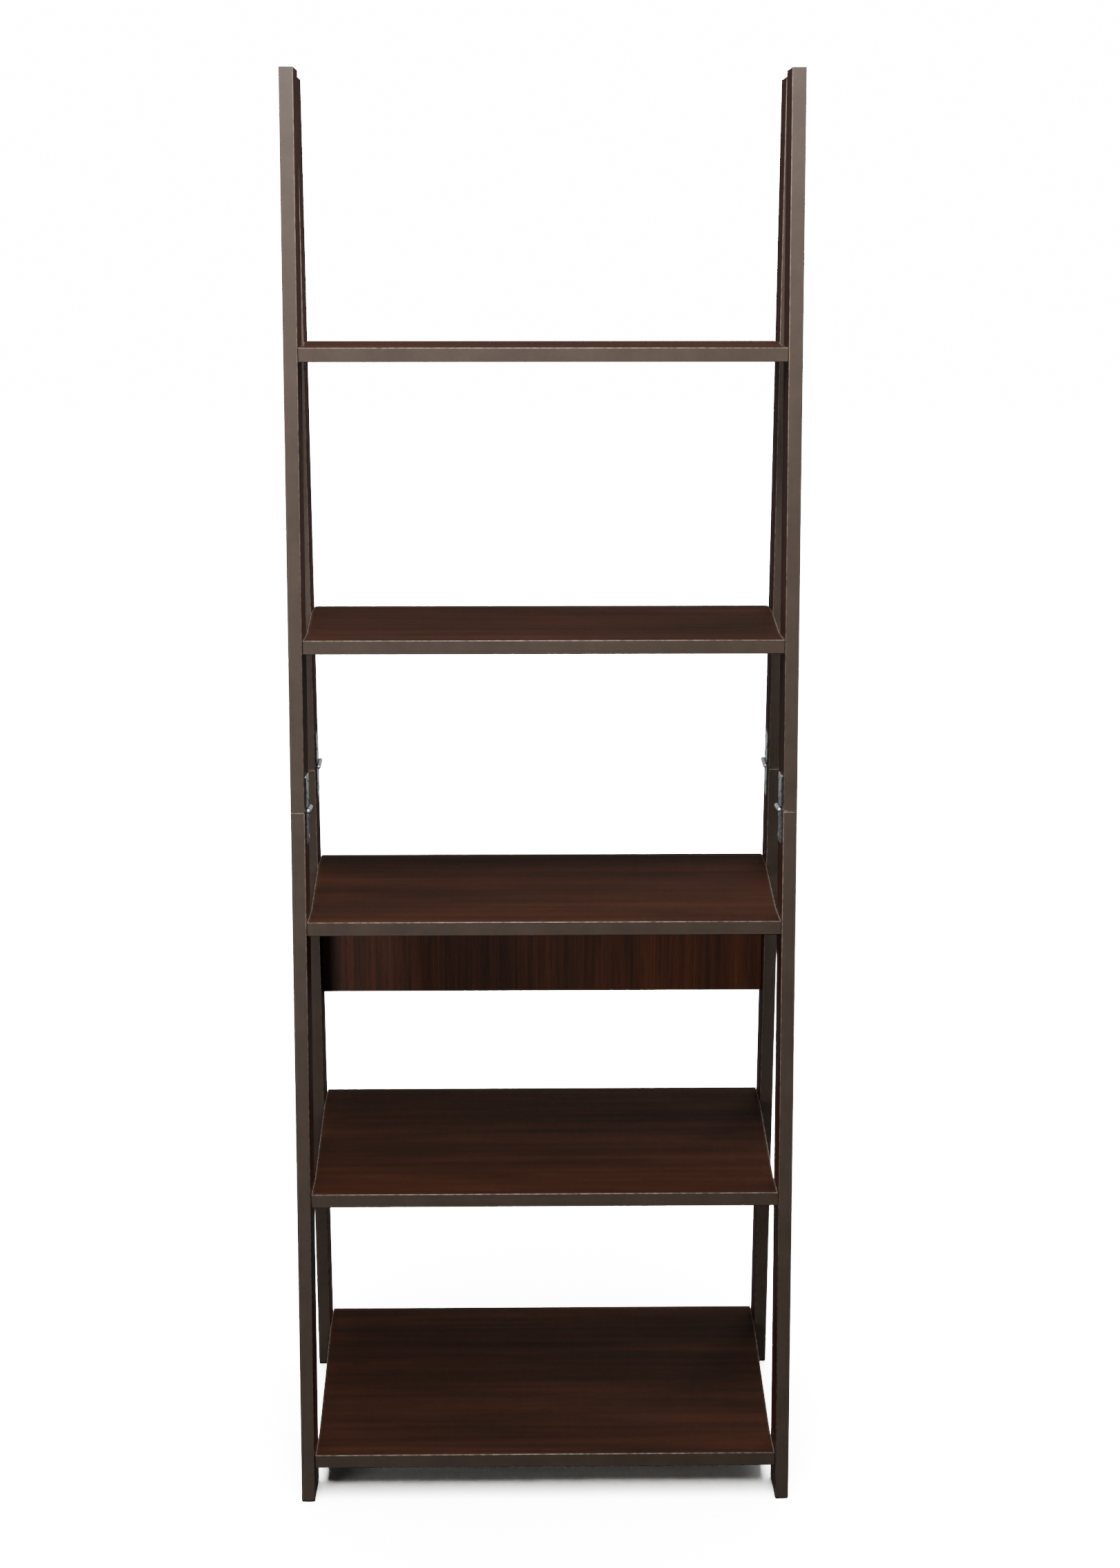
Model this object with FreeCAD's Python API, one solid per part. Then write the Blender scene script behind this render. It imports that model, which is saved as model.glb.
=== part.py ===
import FreeCAD
import Part
import math
import os

from FreeCAD import Placement, Rotation, Vector

# Ladder shelf. Five melamine shelves stand between two front rails and two rear rails. Each rail is
# a leaning board in two halves, joined at mid height by a butt hinge on its inner face. The rear
# rails stand a little further out than the front rails, so each shelf widens towards the back.
# Millimetres, +X to the right, +Y to the back, +Z up. The origin is on the floor, under the middle.
# Every sided piece is built for the right side and mirrored for the left.

# Driving dimensions
HEIGHT = 1800.0
FRONT_WIDTH = 630.0
REAR_FLARE = 10.0
FOOT_DEPTH = 492.0
FRONT_LEAN = 90.0
REAR_LEAN = 170.0
BOARD = 17.5
RAIL_WIDTH = 64.0
SPLIT_HEIGHT = HEIGHT / 2
SPLIT_GAP = 0.6
SHELF_TOPS = {
    "shelf_1": 1470.0,
    "shelf_2": 1115.0,
    "shelf_3": 762.0,
    "shelf_4": 410.0,
    "shelf_5": 62.0,
}
SHELF_SETBACK = 3.0
END_GAP = 0.6
TAPER_MARGIN = 4.0

# Edge banding
EDGING = 2.0
ARRIS = 0.9

# Back brace under the third shelf
BRACE_SHELF = "shelf_3"
BRACE_BOTTOM = 567.0
BRACE_INSET = 12.0
BRACE_SCREW_MARGIN = 34.0

# Feet
FOOT_CAP = 3.0
FOOT_ROUND = 2.4
FOOT_PEG_RADIUS = 2.5
FOOT_PEG_LENGTH = 14.0

# Hinges
HINGE_WIDTH = 34.0
LEAF_LENGTH = 44.0
LEAF_THICKNESS = 1.5
LEAF_CORNER = 3.0
KNUCKLE_RADIUS = 3.3
KNUCKLE_COUNT = 5
KNUCKLE_CLEARANCE = 0.1
SWING_CLEARANCE = 0.4
PIN_RADIUS = 1.6
PIN_RUNNING_FIT = 0.05
PIN_HEAD_RADIUS = 2.4
PIN_HEAD_LENGTH = 0.8
HINGE_SCREW_ROWS = (12.0, 24.0, 36.0)
HINGE_SCREW_OFFSET = 9.0
HINGE_SCREW_HEAD = 3.4
HINGE_SCREW_SHANK = 1.7
HINGE_SCREW_LENGTH = 14.0
HINGE_SCREW_SLOT = (3.6, 0.9, 0.8)

# Shelf screws, their caps and the dowels beside them
SCREW_HEAD_RADIUS = 5.0
SCREW_HEAD_LENGTH = 4.0
SCREW_SHANK_RADIUS = 3.5
SCREW_LENGTH = 50.0
SCREW_POINT = 5.0
SOCKET_ACROSS = 4.0
SOCKET_DEPTH = 2.6
CAP_RADIUS = 6.5
CAP_HEIGHT = 0.7
CAP_ROUND = 0.5
CAP_STEM_RADIUS = 1.7
CAP_STEM_LENGTH = 2.0
DOWEL_RADIUS = 4.0
DOWEL_IN_RAIL = 10.0
DOWEL_IN_SHELF = 20.0
DOWEL_OFFSET = 19.0

# Longest distance at which two points count as the same
TOLERANCE = 0.01

HALF_DEPTH = FOOT_DEPTH / 2
HALF_RAIL = RAIL_WIDTH / 2
FRONT_INNER = FRONT_WIDTH / 2 - BOARD
REAR_INNER = FRONT_INNER + REAR_FLARE
MIRROR_PLANE = Vector(1, 0, 0)
ORIGIN = Vector(0, 0, 0)


def front_face(z):
    """Y of the front rails' front face at height z."""
    return -HALF_DEPTH + FRONT_LEAN * z / HEIGHT


def rear_face(z):
    """Y of the rear rails' back face at height z."""
    return HALF_DEPTH - REAR_LEAN * z / HEIGHT


class Rail:
    """A leaning board on the right side, with directions across and along it."""

    def __init__(self, name, inner_x, slope, edge_y, edge_side):
        self.name = name
        self.inner_x = inner_x
        self.angle = math.atan(slope)
        self.mid_y = edge_y - edge_side * HALF_RAIL / math.cos(self.angle)
        self.half_across = HALF_RAIL / math.cos(self.angle)

    def point(self, across, along):
        """Point on the plane x = 0, measured from the rail's centre at the split."""
        y = self.mid_y + across * math.cos(self.angle) + along * math.sin(self.angle)
        z = SPLIT_HEIGHT - across * math.sin(self.angle) + along * math.cos(self.angle)
        return Vector(0, y, z)

    def across(self, point):
        """Distance of a point from the rail's centre line, positive towards the back."""
        y = point.y - self.mid_y
        z = point.z - SPLIT_HEIGHT
        return y * math.cos(self.angle) - z * math.sin(self.angle)

    def along_at(self, across, z):
        """Distance along the rail where the line at `across` reaches height z."""
        return (z - SPLIT_HEIGHT + across * math.sin(self.angle)) / math.cos(self.angle)

    def centre_y(self, z):
        """Y of the rail's centre line at height z."""
        return self.mid_y + (z - SPLIT_HEIGHT) * math.tan(self.angle)

    def placement(self):
        """Placement of the split on the inner face: local Y runs across, local Z along."""
        turn = Rotation(Vector(1, 0, 0), -math.degrees(self.angle))
        return Placement(Vector(self.inner_x, self.mid_y, SPLIT_HEIGHT), turn)


def make_rails():
    """The two rails of the right side; the left side is their mirror image."""
    front_edge = front_face(SPLIT_HEIGHT)
    rear_edge = rear_face(SPLIT_HEIGHT)
    front = Rail("front", FRONT_INNER, FRONT_LEAN / HEIGHT, front_edge, -1)
    rear = Rail("rear", REAR_INNER, -REAR_LEAN / HEIGHT, rear_edge, 1)
    return front, rear


def prism(points, direction):
    """Solid made by sweeping a closed flat outline along a vector."""
    return Part.Face(Part.makePolygon(points + points[:1])).extrude(direction)


def cylinder(radius, start, direction, length):
    """Cylinder from a start point along a direction."""
    return Part.makeCylinder(radius, length, start, direction)


def round_edges(solid, radius, wanted):
    """Fillet the edges for which wanted(edge) is true."""
    return solid.makeFillet(radius, [edge for edge in solid.Edges if wanted(edge)])


def cut_all(solid, tools):
    """Subtract each tool that reaches the solid."""
    near = [tool for tool in tools if tool.BoundBox.intersect(solid.BoundBox)]
    return solid.cut(near) if near else solid


def mirrored(shape):
    """Left-hand copy of a right-hand shape."""
    return shape.mirror(ORIGIN, MIRROR_PLANE)


def rail_piece(rail, across_from, across_to, upper, level):
    """Board piece between two lines along the rail, from the split to a level end."""
    split = SPLIT_GAP / 2 if upper else -SPLIT_GAP / 2
    corners = [
        (across_from, split),
        (across_to, split),
        (across_to, rail.along_at(across_to, level)),
        (across_from, rail.along_at(across_from, level)),
    ]
    points = [rail.point(*corner) + Vector(rail.inner_x, 0, 0) for corner in corners]
    return prism(points, Vector(BOARD, 0, 0))


def rail_core(rail, upper):
    """Particle board core of one rail half, without its edge banding."""
    band = HALF_RAIL - EDGING
    return rail_piece(rail, -band, band, upper, HEIGHT - EDGING if upper else FOOT_CAP)


def rail_edging(rail, upper):
    """Edge banding of one rail half: front and back strips, and a top strip on an upper half."""
    level = HEIGHT if upper else FOOT_CAP
    band = HALF_RAIL - EDGING
    strips = []
    for outer, inner in ((-HALF_RAIL, -band), (HALF_RAIL, band)):
        strip = rail_piece(rail, min(outer, inner), max(outer, inner), upper, level)
        strips.append(round_edges(strip, ARRIS, lambda edge: is_long_outer_edge(edge, rail, outer)))
    if upper:
        strips.append(rail_piece(rail, -band, band, upper, level).cut(rail_core(rail, upper)))
    return Part.makeCompound(strips)


def is_long_outer_edge(edge, rail, across):
    """True for an edge that runs the length of the rail on its outer line."""
    on_line = all(abs(rail.across(vertex.Point) - across) < TOLERANCE for vertex in edge.Vertexes)
    return on_line and edge.Length > 2 * BOARD


def foot_cap(rail):
    """Plastic pad under a rail, with a peg that holds it in the board."""
    y_mid = rail.centre_y(0)
    corner = Vector(rail.inner_x, y_mid - rail.half_across, 0)
    pad = Part.makeBox(BOARD, 2 * rail.half_across, FOOT_CAP, corner)
    pad = round_edges(pad, FOOT_ROUND, lambda edge: edge.BoundBox.ZMin < FOOT_CAP / 2)
    return pad.fuse(foot_peg(rail)).removeSplitter()


def foot_peg(rail):
    """Peg of a foot pad, also the hole that it fills."""
    base = Vector(rail.inner_x + BOARD / 2, rail.centre_y(0), FOOT_CAP)
    return cylinder(FOOT_PEG_RADIUS, base, Vector(0, 0, 1), FOOT_PEG_LENGTH)


def shelf_stations(top):
    """Y of a shelf's front edge, taper start, taper end and back edge."""
    front, rear = RAILS
    front_edge = front_face(top) + SHELF_SETBACK
    taper_start = front.centre_y(top) + front.half_across + TAPER_MARGIN
    taper_end = rear.centre_y(top) - rear.half_across - TAPER_MARGIN
    return front_edge, taper_start, taper_end, rear_face(top)


def shelf_side(top, inset):
    """Right-hand outline of a shelf, front to back, moved in from every edge by inset."""
    front_edge, taper_start, taper_end, back_edge = shelf_stations(top)
    narrow = FRONT_INNER - END_GAP - inset
    wide = REAR_INNER - END_GAP - inset
    stations = [
        (narrow, front_edge + inset),
        (narrow, taper_start),
        (wide, taper_end),
        (wide, back_edge - inset),
    ]
    return [Vector(x, y, top - BOARD) for x, y in stations]


def shelf_core(top):
    """Particle board core of a shelf, without its edge banding."""
    right = shelf_side(top, EDGING)
    left = [Vector(-point.x, point.y, point.z) for point in reversed(right)]
    return prism(right + left, Vector(0, 0, BOARD))


def shelf_edging(top):
    """Edge banding of a shelf: front and back strips with an end strip on each side."""
    outer = shelf_side(top, 0)
    inner = shelf_side(top, EDGING)
    front = band_strip(outer[0].x, outer[0].y, outer[0].y + EDGING, outer[0].y, top)
    back = band_strip(outer[3].x, outer[3].y - EDGING, outer[3].y, outer[3].y, top)
    outer[0].y = inner[0].y
    outer[3].y = inner[3].y
    end = prism(outer + list(reversed(inner)), Vector(0, 0, BOARD))
    end = round_edges(end, ARRIS, lambda edge: is_level_end_edge(edge, inner[2].x))
    return Part.makeCompound([front, back, end, mirrored(end)])


def band_strip(half_width, y_from, y_to, y_outer, top):
    """Strip across the shelf between two Y planes, rounded along its outer arrises."""
    strip = Part.makeBox(2 * half_width, y_to - y_from, BOARD, Vector(-half_width, y_from, top - BOARD))
    return round_edges(strip, ARRIS, lambda edge: is_outer_width_edge(edge, y_outer, half_width))


def is_outer_width_edge(edge, y_outer, half_width):
    """True for an edge that runs across the shelf on its outer face."""
    return abs(edge.CenterOfMass.y - y_outer) < TOLERANCE and edge.Length > half_width


def is_level_end_edge(edge, inner_wide):
    """True for the level edges on the outer face of a shelf's end strip."""
    first, last = [vertex.Point for vertex in edge.Vertexes]
    level = abs(first.z - last.z) < TOLERANCE and edge.Length > 2 * EDGING
    outer = min(first.x, last.x) > FRONT_INNER - END_GAP - TOLERANCE
    return level and outer and abs(edge.CenterOfMass.x - inner_wide) > TOLERANCE


def brace_y(z):
    """Y of the brace's centre plane at height z."""
    return rear_face(z) - BRACE_INSET - BOARD / 2


def brace_section(low, high):
    """Brace board between two heights, leaning with the rear rails."""
    half = REAR_INNER - END_GAP
    corners = [(low, -BOARD / 2), (low, BOARD / 2), (high, BOARD / 2), (high, -BOARD / 2)]
    points = [Vector(-half, brace_y(z) + offset, z) for z, offset in corners]
    return prism(points, Vector(2 * half, 0, 0))


def back_brace():
    """Brace board under the third shelf, above its edge banding."""
    return brace_section(BRACE_BOTTOM + EDGING, SHELF_TOPS[BRACE_SHELF] - BOARD)


def brace_edging():
    """Banding strip on the brace's lower edge."""
    strip = brace_section(BRACE_BOTTOM, BRACE_BOTTOM + EDGING)
    return round_edges(strip, ARRIS, is_brace_lower_edge)


def is_brace_lower_edge(edge):
    """True for the two long lower edges of the brace's banding."""
    return edge.Length > REAR_INNER and abs(edge.CenterOfMass.z - BRACE_BOTTOM) < TOLERANCE


def brace_screw_heights():
    """Heights of the two screws in each end of the brace."""
    top = SHELF_TOPS[BRACE_SHELF] - BOARD
    return BRACE_BOTTOM + BRACE_SCREW_MARGIN, top - BRACE_SCREW_MARGIN


def knuckle_span(index):
    """Start and end along the pin of one knuckle of the hinge."""
    width = HINGE_WIDTH / KNUCKLE_COUNT
    start = -HINGE_WIDTH / 2 + index * width
    return start, start + width


def hinge_leaf(upper):
    """Hinge leaf in the split's own frame: local X = 0 is the board's face, the pin runs along Y."""
    sign = 1 if upper else -1
    corner = Vector(-LEAF_THICKNESS, -HINGE_WIDTH / 2, 0)
    plate = Part.makeBox(LEAF_THICKNESS, HINGE_WIDTH, LEAF_LENGTH, corner)
    plate = round_edges(plate, LEAF_CORNER, is_leaf_corner)
    if not upper:
        plate = plate.mirror(ORIGIN, Vector(0, 0, 1))
    own = range(1, KNUCKLE_COUNT, 2) if upper else range(0, KNUCKLE_COUNT, 2)
    leaf = plate
    for index in range(KNUCKLE_COUNT):
        start, end = knuckle_span(index)
        if index in own:
            base = Vector(-KNUCKLE_RADIUS, start + KNUCKLE_CLEARANCE, 0)
            length = end - start - 2 * KNUCKLE_CLEARANCE
            leaf = leaf.fuse(cylinder(KNUCKLE_RADIUS, base, Vector(0, 1, 0), length))
            continue
        reach = KNUCKLE_RADIUS + SWING_CLEARANCE
        corner = Vector(-2 * reach, start - KNUCKLE_CLEARANCE, 0 if upper else -reach)
        length = end - start + 2 * KNUCKLE_CLEARANCE
        leaf = leaf.cut(Part.makeBox(3 * reach, length, reach, corner))
    bore_start = Vector(-KNUCKLE_RADIUS, -HINGE_WIDTH, 0)
    leaf = leaf.cut(cylinder(PIN_RADIUS + PIN_RUNNING_FIT, bore_start, Vector(0, 1, 0), 2 * HINGE_WIDTH))
    screws = [hinge_screw_blank(*place) for place in hinge_screw_places(sign)]
    return leaf.cut(screws).removeSplitter()


def is_leaf_corner(edge):
    """True for the two short edges at the free end of a leaf."""
    at_free_end = edge.CenterOfMass.z > LEAF_LENGTH - TOLERANCE
    return at_free_end and abs(edge.Length - LEAF_THICKNESS) < TOLERANCE


def hinge_pin():
    """Pin with a peened head at each end."""
    start = Vector(-KNUCKLE_RADIUS, -HINGE_WIDTH / 2, 0)
    along = Vector(0, 1, 0)
    pin = cylinder(PIN_RADIUS, start, along, HINGE_WIDTH)
    for head_start in (-HINGE_WIDTH / 2 - PIN_HEAD_LENGTH, HINGE_WIDTH / 2):
        base = Vector(-KNUCKLE_RADIUS, head_start, 0)
        pin = pin.fuse(cylinder(PIN_HEAD_RADIUS, base, along, PIN_HEAD_LENGTH))
    return pin.removeSplitter()


def hinge_screw_places(sign):
    """Staggered screw places on one leaf, as distances across and along."""
    sides = (1, -1, 1)
    return [(side * HINGE_SCREW_OFFSET, sign * row) for side, row in zip(sides, HINGE_SCREW_ROWS)]


def hinge_screw_blank(across, along):
    """Countersunk screw without its slot, also the hole that it fills."""
    face = Vector(-LEAF_THICKNESS, across, along)
    depth = HINGE_SCREW_HEAD - HINGE_SCREW_SHANK
    head = Part.makeCone(HINGE_SCREW_HEAD, HINGE_SCREW_SHANK, depth, face, Vector(1, 0, 0))
    shank_length = HINGE_SCREW_LENGTH - depth - 2 * HINGE_SCREW_SHANK
    shank = cylinder(HINGE_SCREW_SHANK, face + Vector(depth, 0, 0), Vector(1, 0, 0), shank_length)
    tip_base = face + Vector(depth + shank_length, 0, 0)
    tip = Part.makeCone(HINGE_SCREW_SHANK, 0, 2 * HINGE_SCREW_SHANK, tip_base, Vector(1, 0, 0))
    return head.fuse([shank, tip])


def hinge_screw(across, along):
    """Countersunk screw with a cross recess in its head."""
    length, width, depth = HINGE_SCREW_SLOT
    screw = hinge_screw_blank(across, along)
    for size_y, size_z in ((length, width), (width, length)):
        corner = Vector(-LEAF_THICKNESS, across - size_y / 2, along - size_z / 2)
        screw = screw.cut(Part.makeBox(depth, size_y, size_z, corner))
    return screw.removeSplitter()


def placed(shape, rail):
    """Move a shape from the split's own frame onto its rail."""
    return shape.transformed(rail.placement().toMatrix())


def hinge_screws(rail):
    """All screws of one hinge."""
    places = hinge_screw_places(1) + hinge_screw_places(-1)
    return [placed(hinge_screw(*place), rail) for place in places]


def hinge_holes(rail):
    """Screw holes that one hinge needs in its rail."""
    places = hinge_screw_places(1) + hinge_screw_places(-1)
    return [placed(hinge_screw_blank(*place), rail) for place in places]


def shelf_screw_blank(rail, y, z):
    """Shelf screw without its socket, driven in from the rail's outer face."""
    outer = Vector(rail.inner_x + BOARD, y, z)
    inward = Vector(-1, 0, 0)
    head = cylinder(SCREW_HEAD_RADIUS, outer, inward, SCREW_HEAD_LENGTH)
    shank = cylinder(SCREW_SHANK_RADIUS, outer, inward, SCREW_LENGTH - SCREW_POINT)
    point_base = outer + inward * (SCREW_LENGTH - SCREW_POINT)
    point = Part.makeCone(SCREW_SHANK_RADIUS, SCREW_SHANK_RADIUS / 2, SCREW_POINT, point_base, inward)
    return head.fuse([shank, point])


def shelf_screw(rail, y, z):
    """Shelf screw with its hexagonal socket."""
    radius = SOCKET_ACROSS / math.sqrt(3)
    base = Vector(rail.inner_x + BOARD - SOCKET_DEPTH, y, z)
    turns = [side * math.pi / 3 for side in range(6)]
    corners = [base + radius * Vector(0, math.cos(turn), math.sin(turn)) for turn in turns]
    socket = prism(corners, Vector(SOCKET_DEPTH, 0, 0))
    return shelf_screw_blank(rail, y, z).cut(socket).removeSplitter()


def screw_cap(rail, y, z):
    """Cover cap whose stem sits in a screw's socket."""
    face = Vector(rail.inner_x + BOARD, y, z)
    disc = cylinder(CAP_RADIUS, face, Vector(1, 0, 0), CAP_HEIGHT)
    rim_x = face.x + CAP_HEIGHT / 2
    disc = round_edges(disc, CAP_ROUND, lambda edge: edge.CenterOfMass.x > rim_x)
    stem = cylinder(CAP_STEM_RADIUS, face, Vector(-1, 0, 0), CAP_STEM_LENGTH)
    return disc.fuse(stem).removeSplitter()


def shelf_screw_places(rail):
    """Y and Z of the screw that holds each shelf to this rail."""
    heights = [top - BOARD / 2 for top in SHELF_TOPS.values()]
    return [(rail.centre_y(z), z) for z in heights]


def brace_screw_places():
    """Y and Z of the screws that hold the brace to a rear rail."""
    return [(brace_y(z), z) for z in brace_screw_heights()]


def dowels(rail):
    """Wooden dowels beside this rail's shelf screws, on the side away from the open edge."""
    side = 1 if rail.name == "front" else -1
    pegs = []
    for y, z in shelf_screw_places(rail):
        start = Vector(rail.inner_x - DOWEL_IN_SHELF, y + side * DOWEL_OFFSET, z)
        pegs.append(cylinder(DOWEL_RADIUS, start, Vector(1, 0, 0), DOWEL_IN_RAIL + DOWEL_IN_SHELF))
    return pegs


def both_sides(shapes):
    """Right-hand shapes and their left-hand mirror images in one group."""
    return Part.makeCompound(shapes + [mirrored(shape) for shape in shapes])


def save(name, shape):
    """Write one node and report its volume."""
    shape.exportStep("parts/" + name + ".step")
    print("%-34s %3d solid(s) %12.1f mm3" % (name, len(shape.Solids), shape.Volume))


def save_pair(pattern, shape):
    """Write the right-hand node and its left-hand mirror image."""
    save(pattern % "right", shape)
    save(pattern % "left", mirrored(shape))


def joint_tools():
    """Every hole that screws, dowels and pegs need in the boards of the right side."""
    tools = []
    for rail in RAILS:
        tools += [shelf_screw_blank(rail, y, z) for y, z in shelf_screw_places(rail)]
        tools += dowels(rail)
        tools += hinge_holes(rail)
        tools.append(foot_peg(rail))
    rear = RAILS[1]
    tools += [shelf_screw_blank(rear, y, z) for y, z in brace_screw_places()]
    return tools


def save_rails(tools):
    """Write the eight rail halves and their edge banding."""
    for rail in RAILS:
        for half, upper in (("upper", True), ("lower", False)):
            save_pair(rail.name + "_%s_" + half + "_rail", cut_all(rail_core(rail, upper), tools))
            save_pair(rail.name + "_%s_" + half + "_edging", rail_edging(rail, upper))
        save_pair(rail.name + "_%s_foot_cap", foot_cap(rail))


def save_shelves(tools):
    """Write the shelves, the brace and their edge banding."""
    two_sided = tools + [mirrored(tool) for tool in tools]
    for name, top in SHELF_TOPS.items():
        save(name + "_board", cut_all(shelf_core(top), two_sided))
        edging = [cut_all(strip, two_sided) for strip in shelf_edging(top).Solids]
        save(name + "_edging", Part.makeCompound(edging))
    save("back_brace", cut_all(back_brace(), two_sided))
    save("back_brace_edging", brace_edging())


def save_hinges():
    """Write the leaves, pin and screws of the four hinges."""
    for rail in RAILS:
        save_pair(rail.name + "_%s_hinge_upper_leaf", placed(hinge_leaf(True), rail))
        save_pair(rail.name + "_%s_hinge_lower_leaf", placed(hinge_leaf(False), rail))
        save_pair(rail.name + "_%s_hinge_pin", placed(hinge_pin(), rail))
        save_pair(rail.name + "_%s_hinge_screws", Part.makeCompound(hinge_screws(rail)))


def save_fasteners():
    """Write the shelf screws, brace screws, cover caps and dowels, each kind as one group."""
    front, rear = RAILS
    places = [(rail, y, z) for rail in RAILS for y, z in shelf_screw_places(rail)]
    brace_places = [(rear, y, z) for y, z in brace_screw_places()]
    save("shelf_screws", both_sides([shelf_screw(*place) for place in places]))
    save("brace_screws", both_sides([shelf_screw(*place) for place in brace_places]))
    save("screw_caps", both_sides([screw_cap(*place) for place in places + brace_places]))
    save("shelf_dowels", both_sides(dowels(front) + dowels(rear)))


RAILS = make_rails()


def main():
    """Write every node of the ladder shelf."""
    os.makedirs("parts", exist_ok=True)
    tools = joint_tools()
    save_rails(tools)
    save_shelves(tools)
    save_hinges()
    save_fasteners()


main()
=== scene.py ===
import logging
import math
from dataclasses import dataclass, field
from enum import Enum
from typing import Any, Iterable, Sequence

import bmesh
import bpy
from bmesh.types import BMEdge, BMesh, BMFace, BMVert
from bpy.types import Collection, Material as Look, Mesh, Node, NodeSocket, NodeTree, Object
from mathutils import Matrix, Vector


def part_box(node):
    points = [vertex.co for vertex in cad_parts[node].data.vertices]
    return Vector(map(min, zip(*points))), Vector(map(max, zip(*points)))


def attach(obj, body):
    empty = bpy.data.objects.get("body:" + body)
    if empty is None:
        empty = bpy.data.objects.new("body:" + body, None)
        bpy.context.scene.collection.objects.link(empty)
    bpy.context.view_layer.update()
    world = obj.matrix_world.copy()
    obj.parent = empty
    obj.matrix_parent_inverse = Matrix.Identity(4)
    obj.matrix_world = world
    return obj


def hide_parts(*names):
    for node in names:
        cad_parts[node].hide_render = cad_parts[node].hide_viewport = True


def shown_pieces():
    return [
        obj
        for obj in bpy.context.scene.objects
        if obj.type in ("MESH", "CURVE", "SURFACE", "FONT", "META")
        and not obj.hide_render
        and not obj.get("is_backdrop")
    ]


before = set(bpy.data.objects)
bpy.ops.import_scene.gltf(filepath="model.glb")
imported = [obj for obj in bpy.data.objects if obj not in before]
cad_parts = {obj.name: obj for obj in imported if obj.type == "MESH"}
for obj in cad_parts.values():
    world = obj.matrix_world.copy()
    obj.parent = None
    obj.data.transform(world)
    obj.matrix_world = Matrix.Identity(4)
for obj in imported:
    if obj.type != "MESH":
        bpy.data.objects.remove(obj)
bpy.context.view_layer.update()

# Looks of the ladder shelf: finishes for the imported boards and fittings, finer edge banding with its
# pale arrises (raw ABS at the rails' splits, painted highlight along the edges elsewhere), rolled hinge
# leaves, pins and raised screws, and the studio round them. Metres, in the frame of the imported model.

LOG = logging.getLogger("ladder_shelf")
MM = 0.001
MM_PER_M = 1000
FLAT_TOLERANCE = 1e-6
NEAR = 10 * FLAT_TOLERANCE
ROUND_SEGMENTS = 4
SHELF_NUMBERS = range(1, 6)
RAIL_HEIGHT = 1800
FRONT_RUN = 90
REAR_RUN = 170
NOISE_LOW, NOISE_HIGH = 0.3, 0.7
WHITE = (1.0, 1.0, 1.0, 1.0)


class Named(Enum):
    """A choice whose name also stands in node names."""

    @property
    def word(self) -> str:
        """Name of the choice as it stands in node names."""
        return self.name.lower()


class Side(Named):
    """The two sides of the shelf, each with the sign of its X."""

    LEFT = -1
    RIGHT = 1


class RailKind(Named):
    """The two leaning rails of a side, each with the sign of its lean along Y."""

    FRONT = 1
    REAR = -1


class Half(Named):
    """The two halves of a hinged rail, each with its direction from the split."""

    LOWER = -1
    UPPER = 1


class Material(Enum):
    """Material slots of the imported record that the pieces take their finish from."""

    BOARD = "walnut_board"
    BANDING = "edge_banding"
    FOOT = "foot_plastic"
    HINGE = "hinge_steel"
    PIN = "pin_steel"
    SCREW = "screw_steel"
    CAP = "cap_plastic"
    DOWEL = "beech"


# ---------------------------------------------------------------- node and mesh helpers


def colour(code: str) -> tuple[float, float, float, float]:
    """Turn an sRGB hex code into a linear colour.

    Args:
        code: Six hex digits with a leading hash.

    Returns:
        Linear red, green, blue and an alpha of one.
    """
    parts = [int(code[i : i + 2], 16) / 255 for i in (1, 3, 5)]
    linear = [c / 12.92 if c <= 0.04045 else ((c + 0.055) / 1.055) ** 2.4 for c in parts]
    return (linear[0], linear[1], linear[2], 1.0)


def add_node(
    tree: NodeTree, kind: str, inputs: dict[Any, Any] | None = None, **settings: Any
) -> Node:
    """Add a node with its settings, socket values and links.

    Args:
        tree: Node tree that gets the node.
        kind: Blender's type name of the node.
        inputs: Socket name or number to a value, or to the output socket that feeds it.
        settings: Attributes of the node.

    Returns:
        The new node.
    """
    node = tree.nodes.new(kind)
    for name, value in settings.items():
        setattr(node, name, value)
    for socket, value in (inputs or {}).items():
        if isinstance(value, NodeSocket):
            tree.links.new(value, node.inputs[socket])
        else:
            node.inputs[socket].default_value = value
    return node


def set_ramp(node: Node, stops: Sequence[tuple[float, str]]) -> None:
    """Give a colour ramp its stops.

    Args:
        node: The colour ramp.
        stops: Position and hex colour of each stop, in order.
    """
    elements = node.color_ramp.elements
    while len(elements) < len(stops):
        elements.new(1.0)
    for element, (position, code) in zip(elements, stops):
        element.position = position
        element.color = colour(code)


def new_material(name: str) -> tuple[Look, NodeTree]:
    """Start a material with an empty node tree.

    Args:
        name: Name of the material.

    Returns:
        The material and its node tree.
    """
    material = bpy.data.materials.new(name)
    material.use_nodes = True
    material.node_tree.nodes.clear()
    return material, material.node_tree


def prism(bm: BMesh, outline: Sequence[Vector], sweep: Vector) -> list[BMFace]:
    """Extrude a flat outline into a closed solid.

    Args:
        bm: Mesh that gets the solid.
        outline: Corners of the flat face, in order.
        sweep: Direction and length of the extrusion.

    Returns:
        The faces of the solid.
    """
    base = bm.faces.new([bm.verts.new(point) for point in outline])
    return thicken(bm, [base], sweep)


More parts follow.
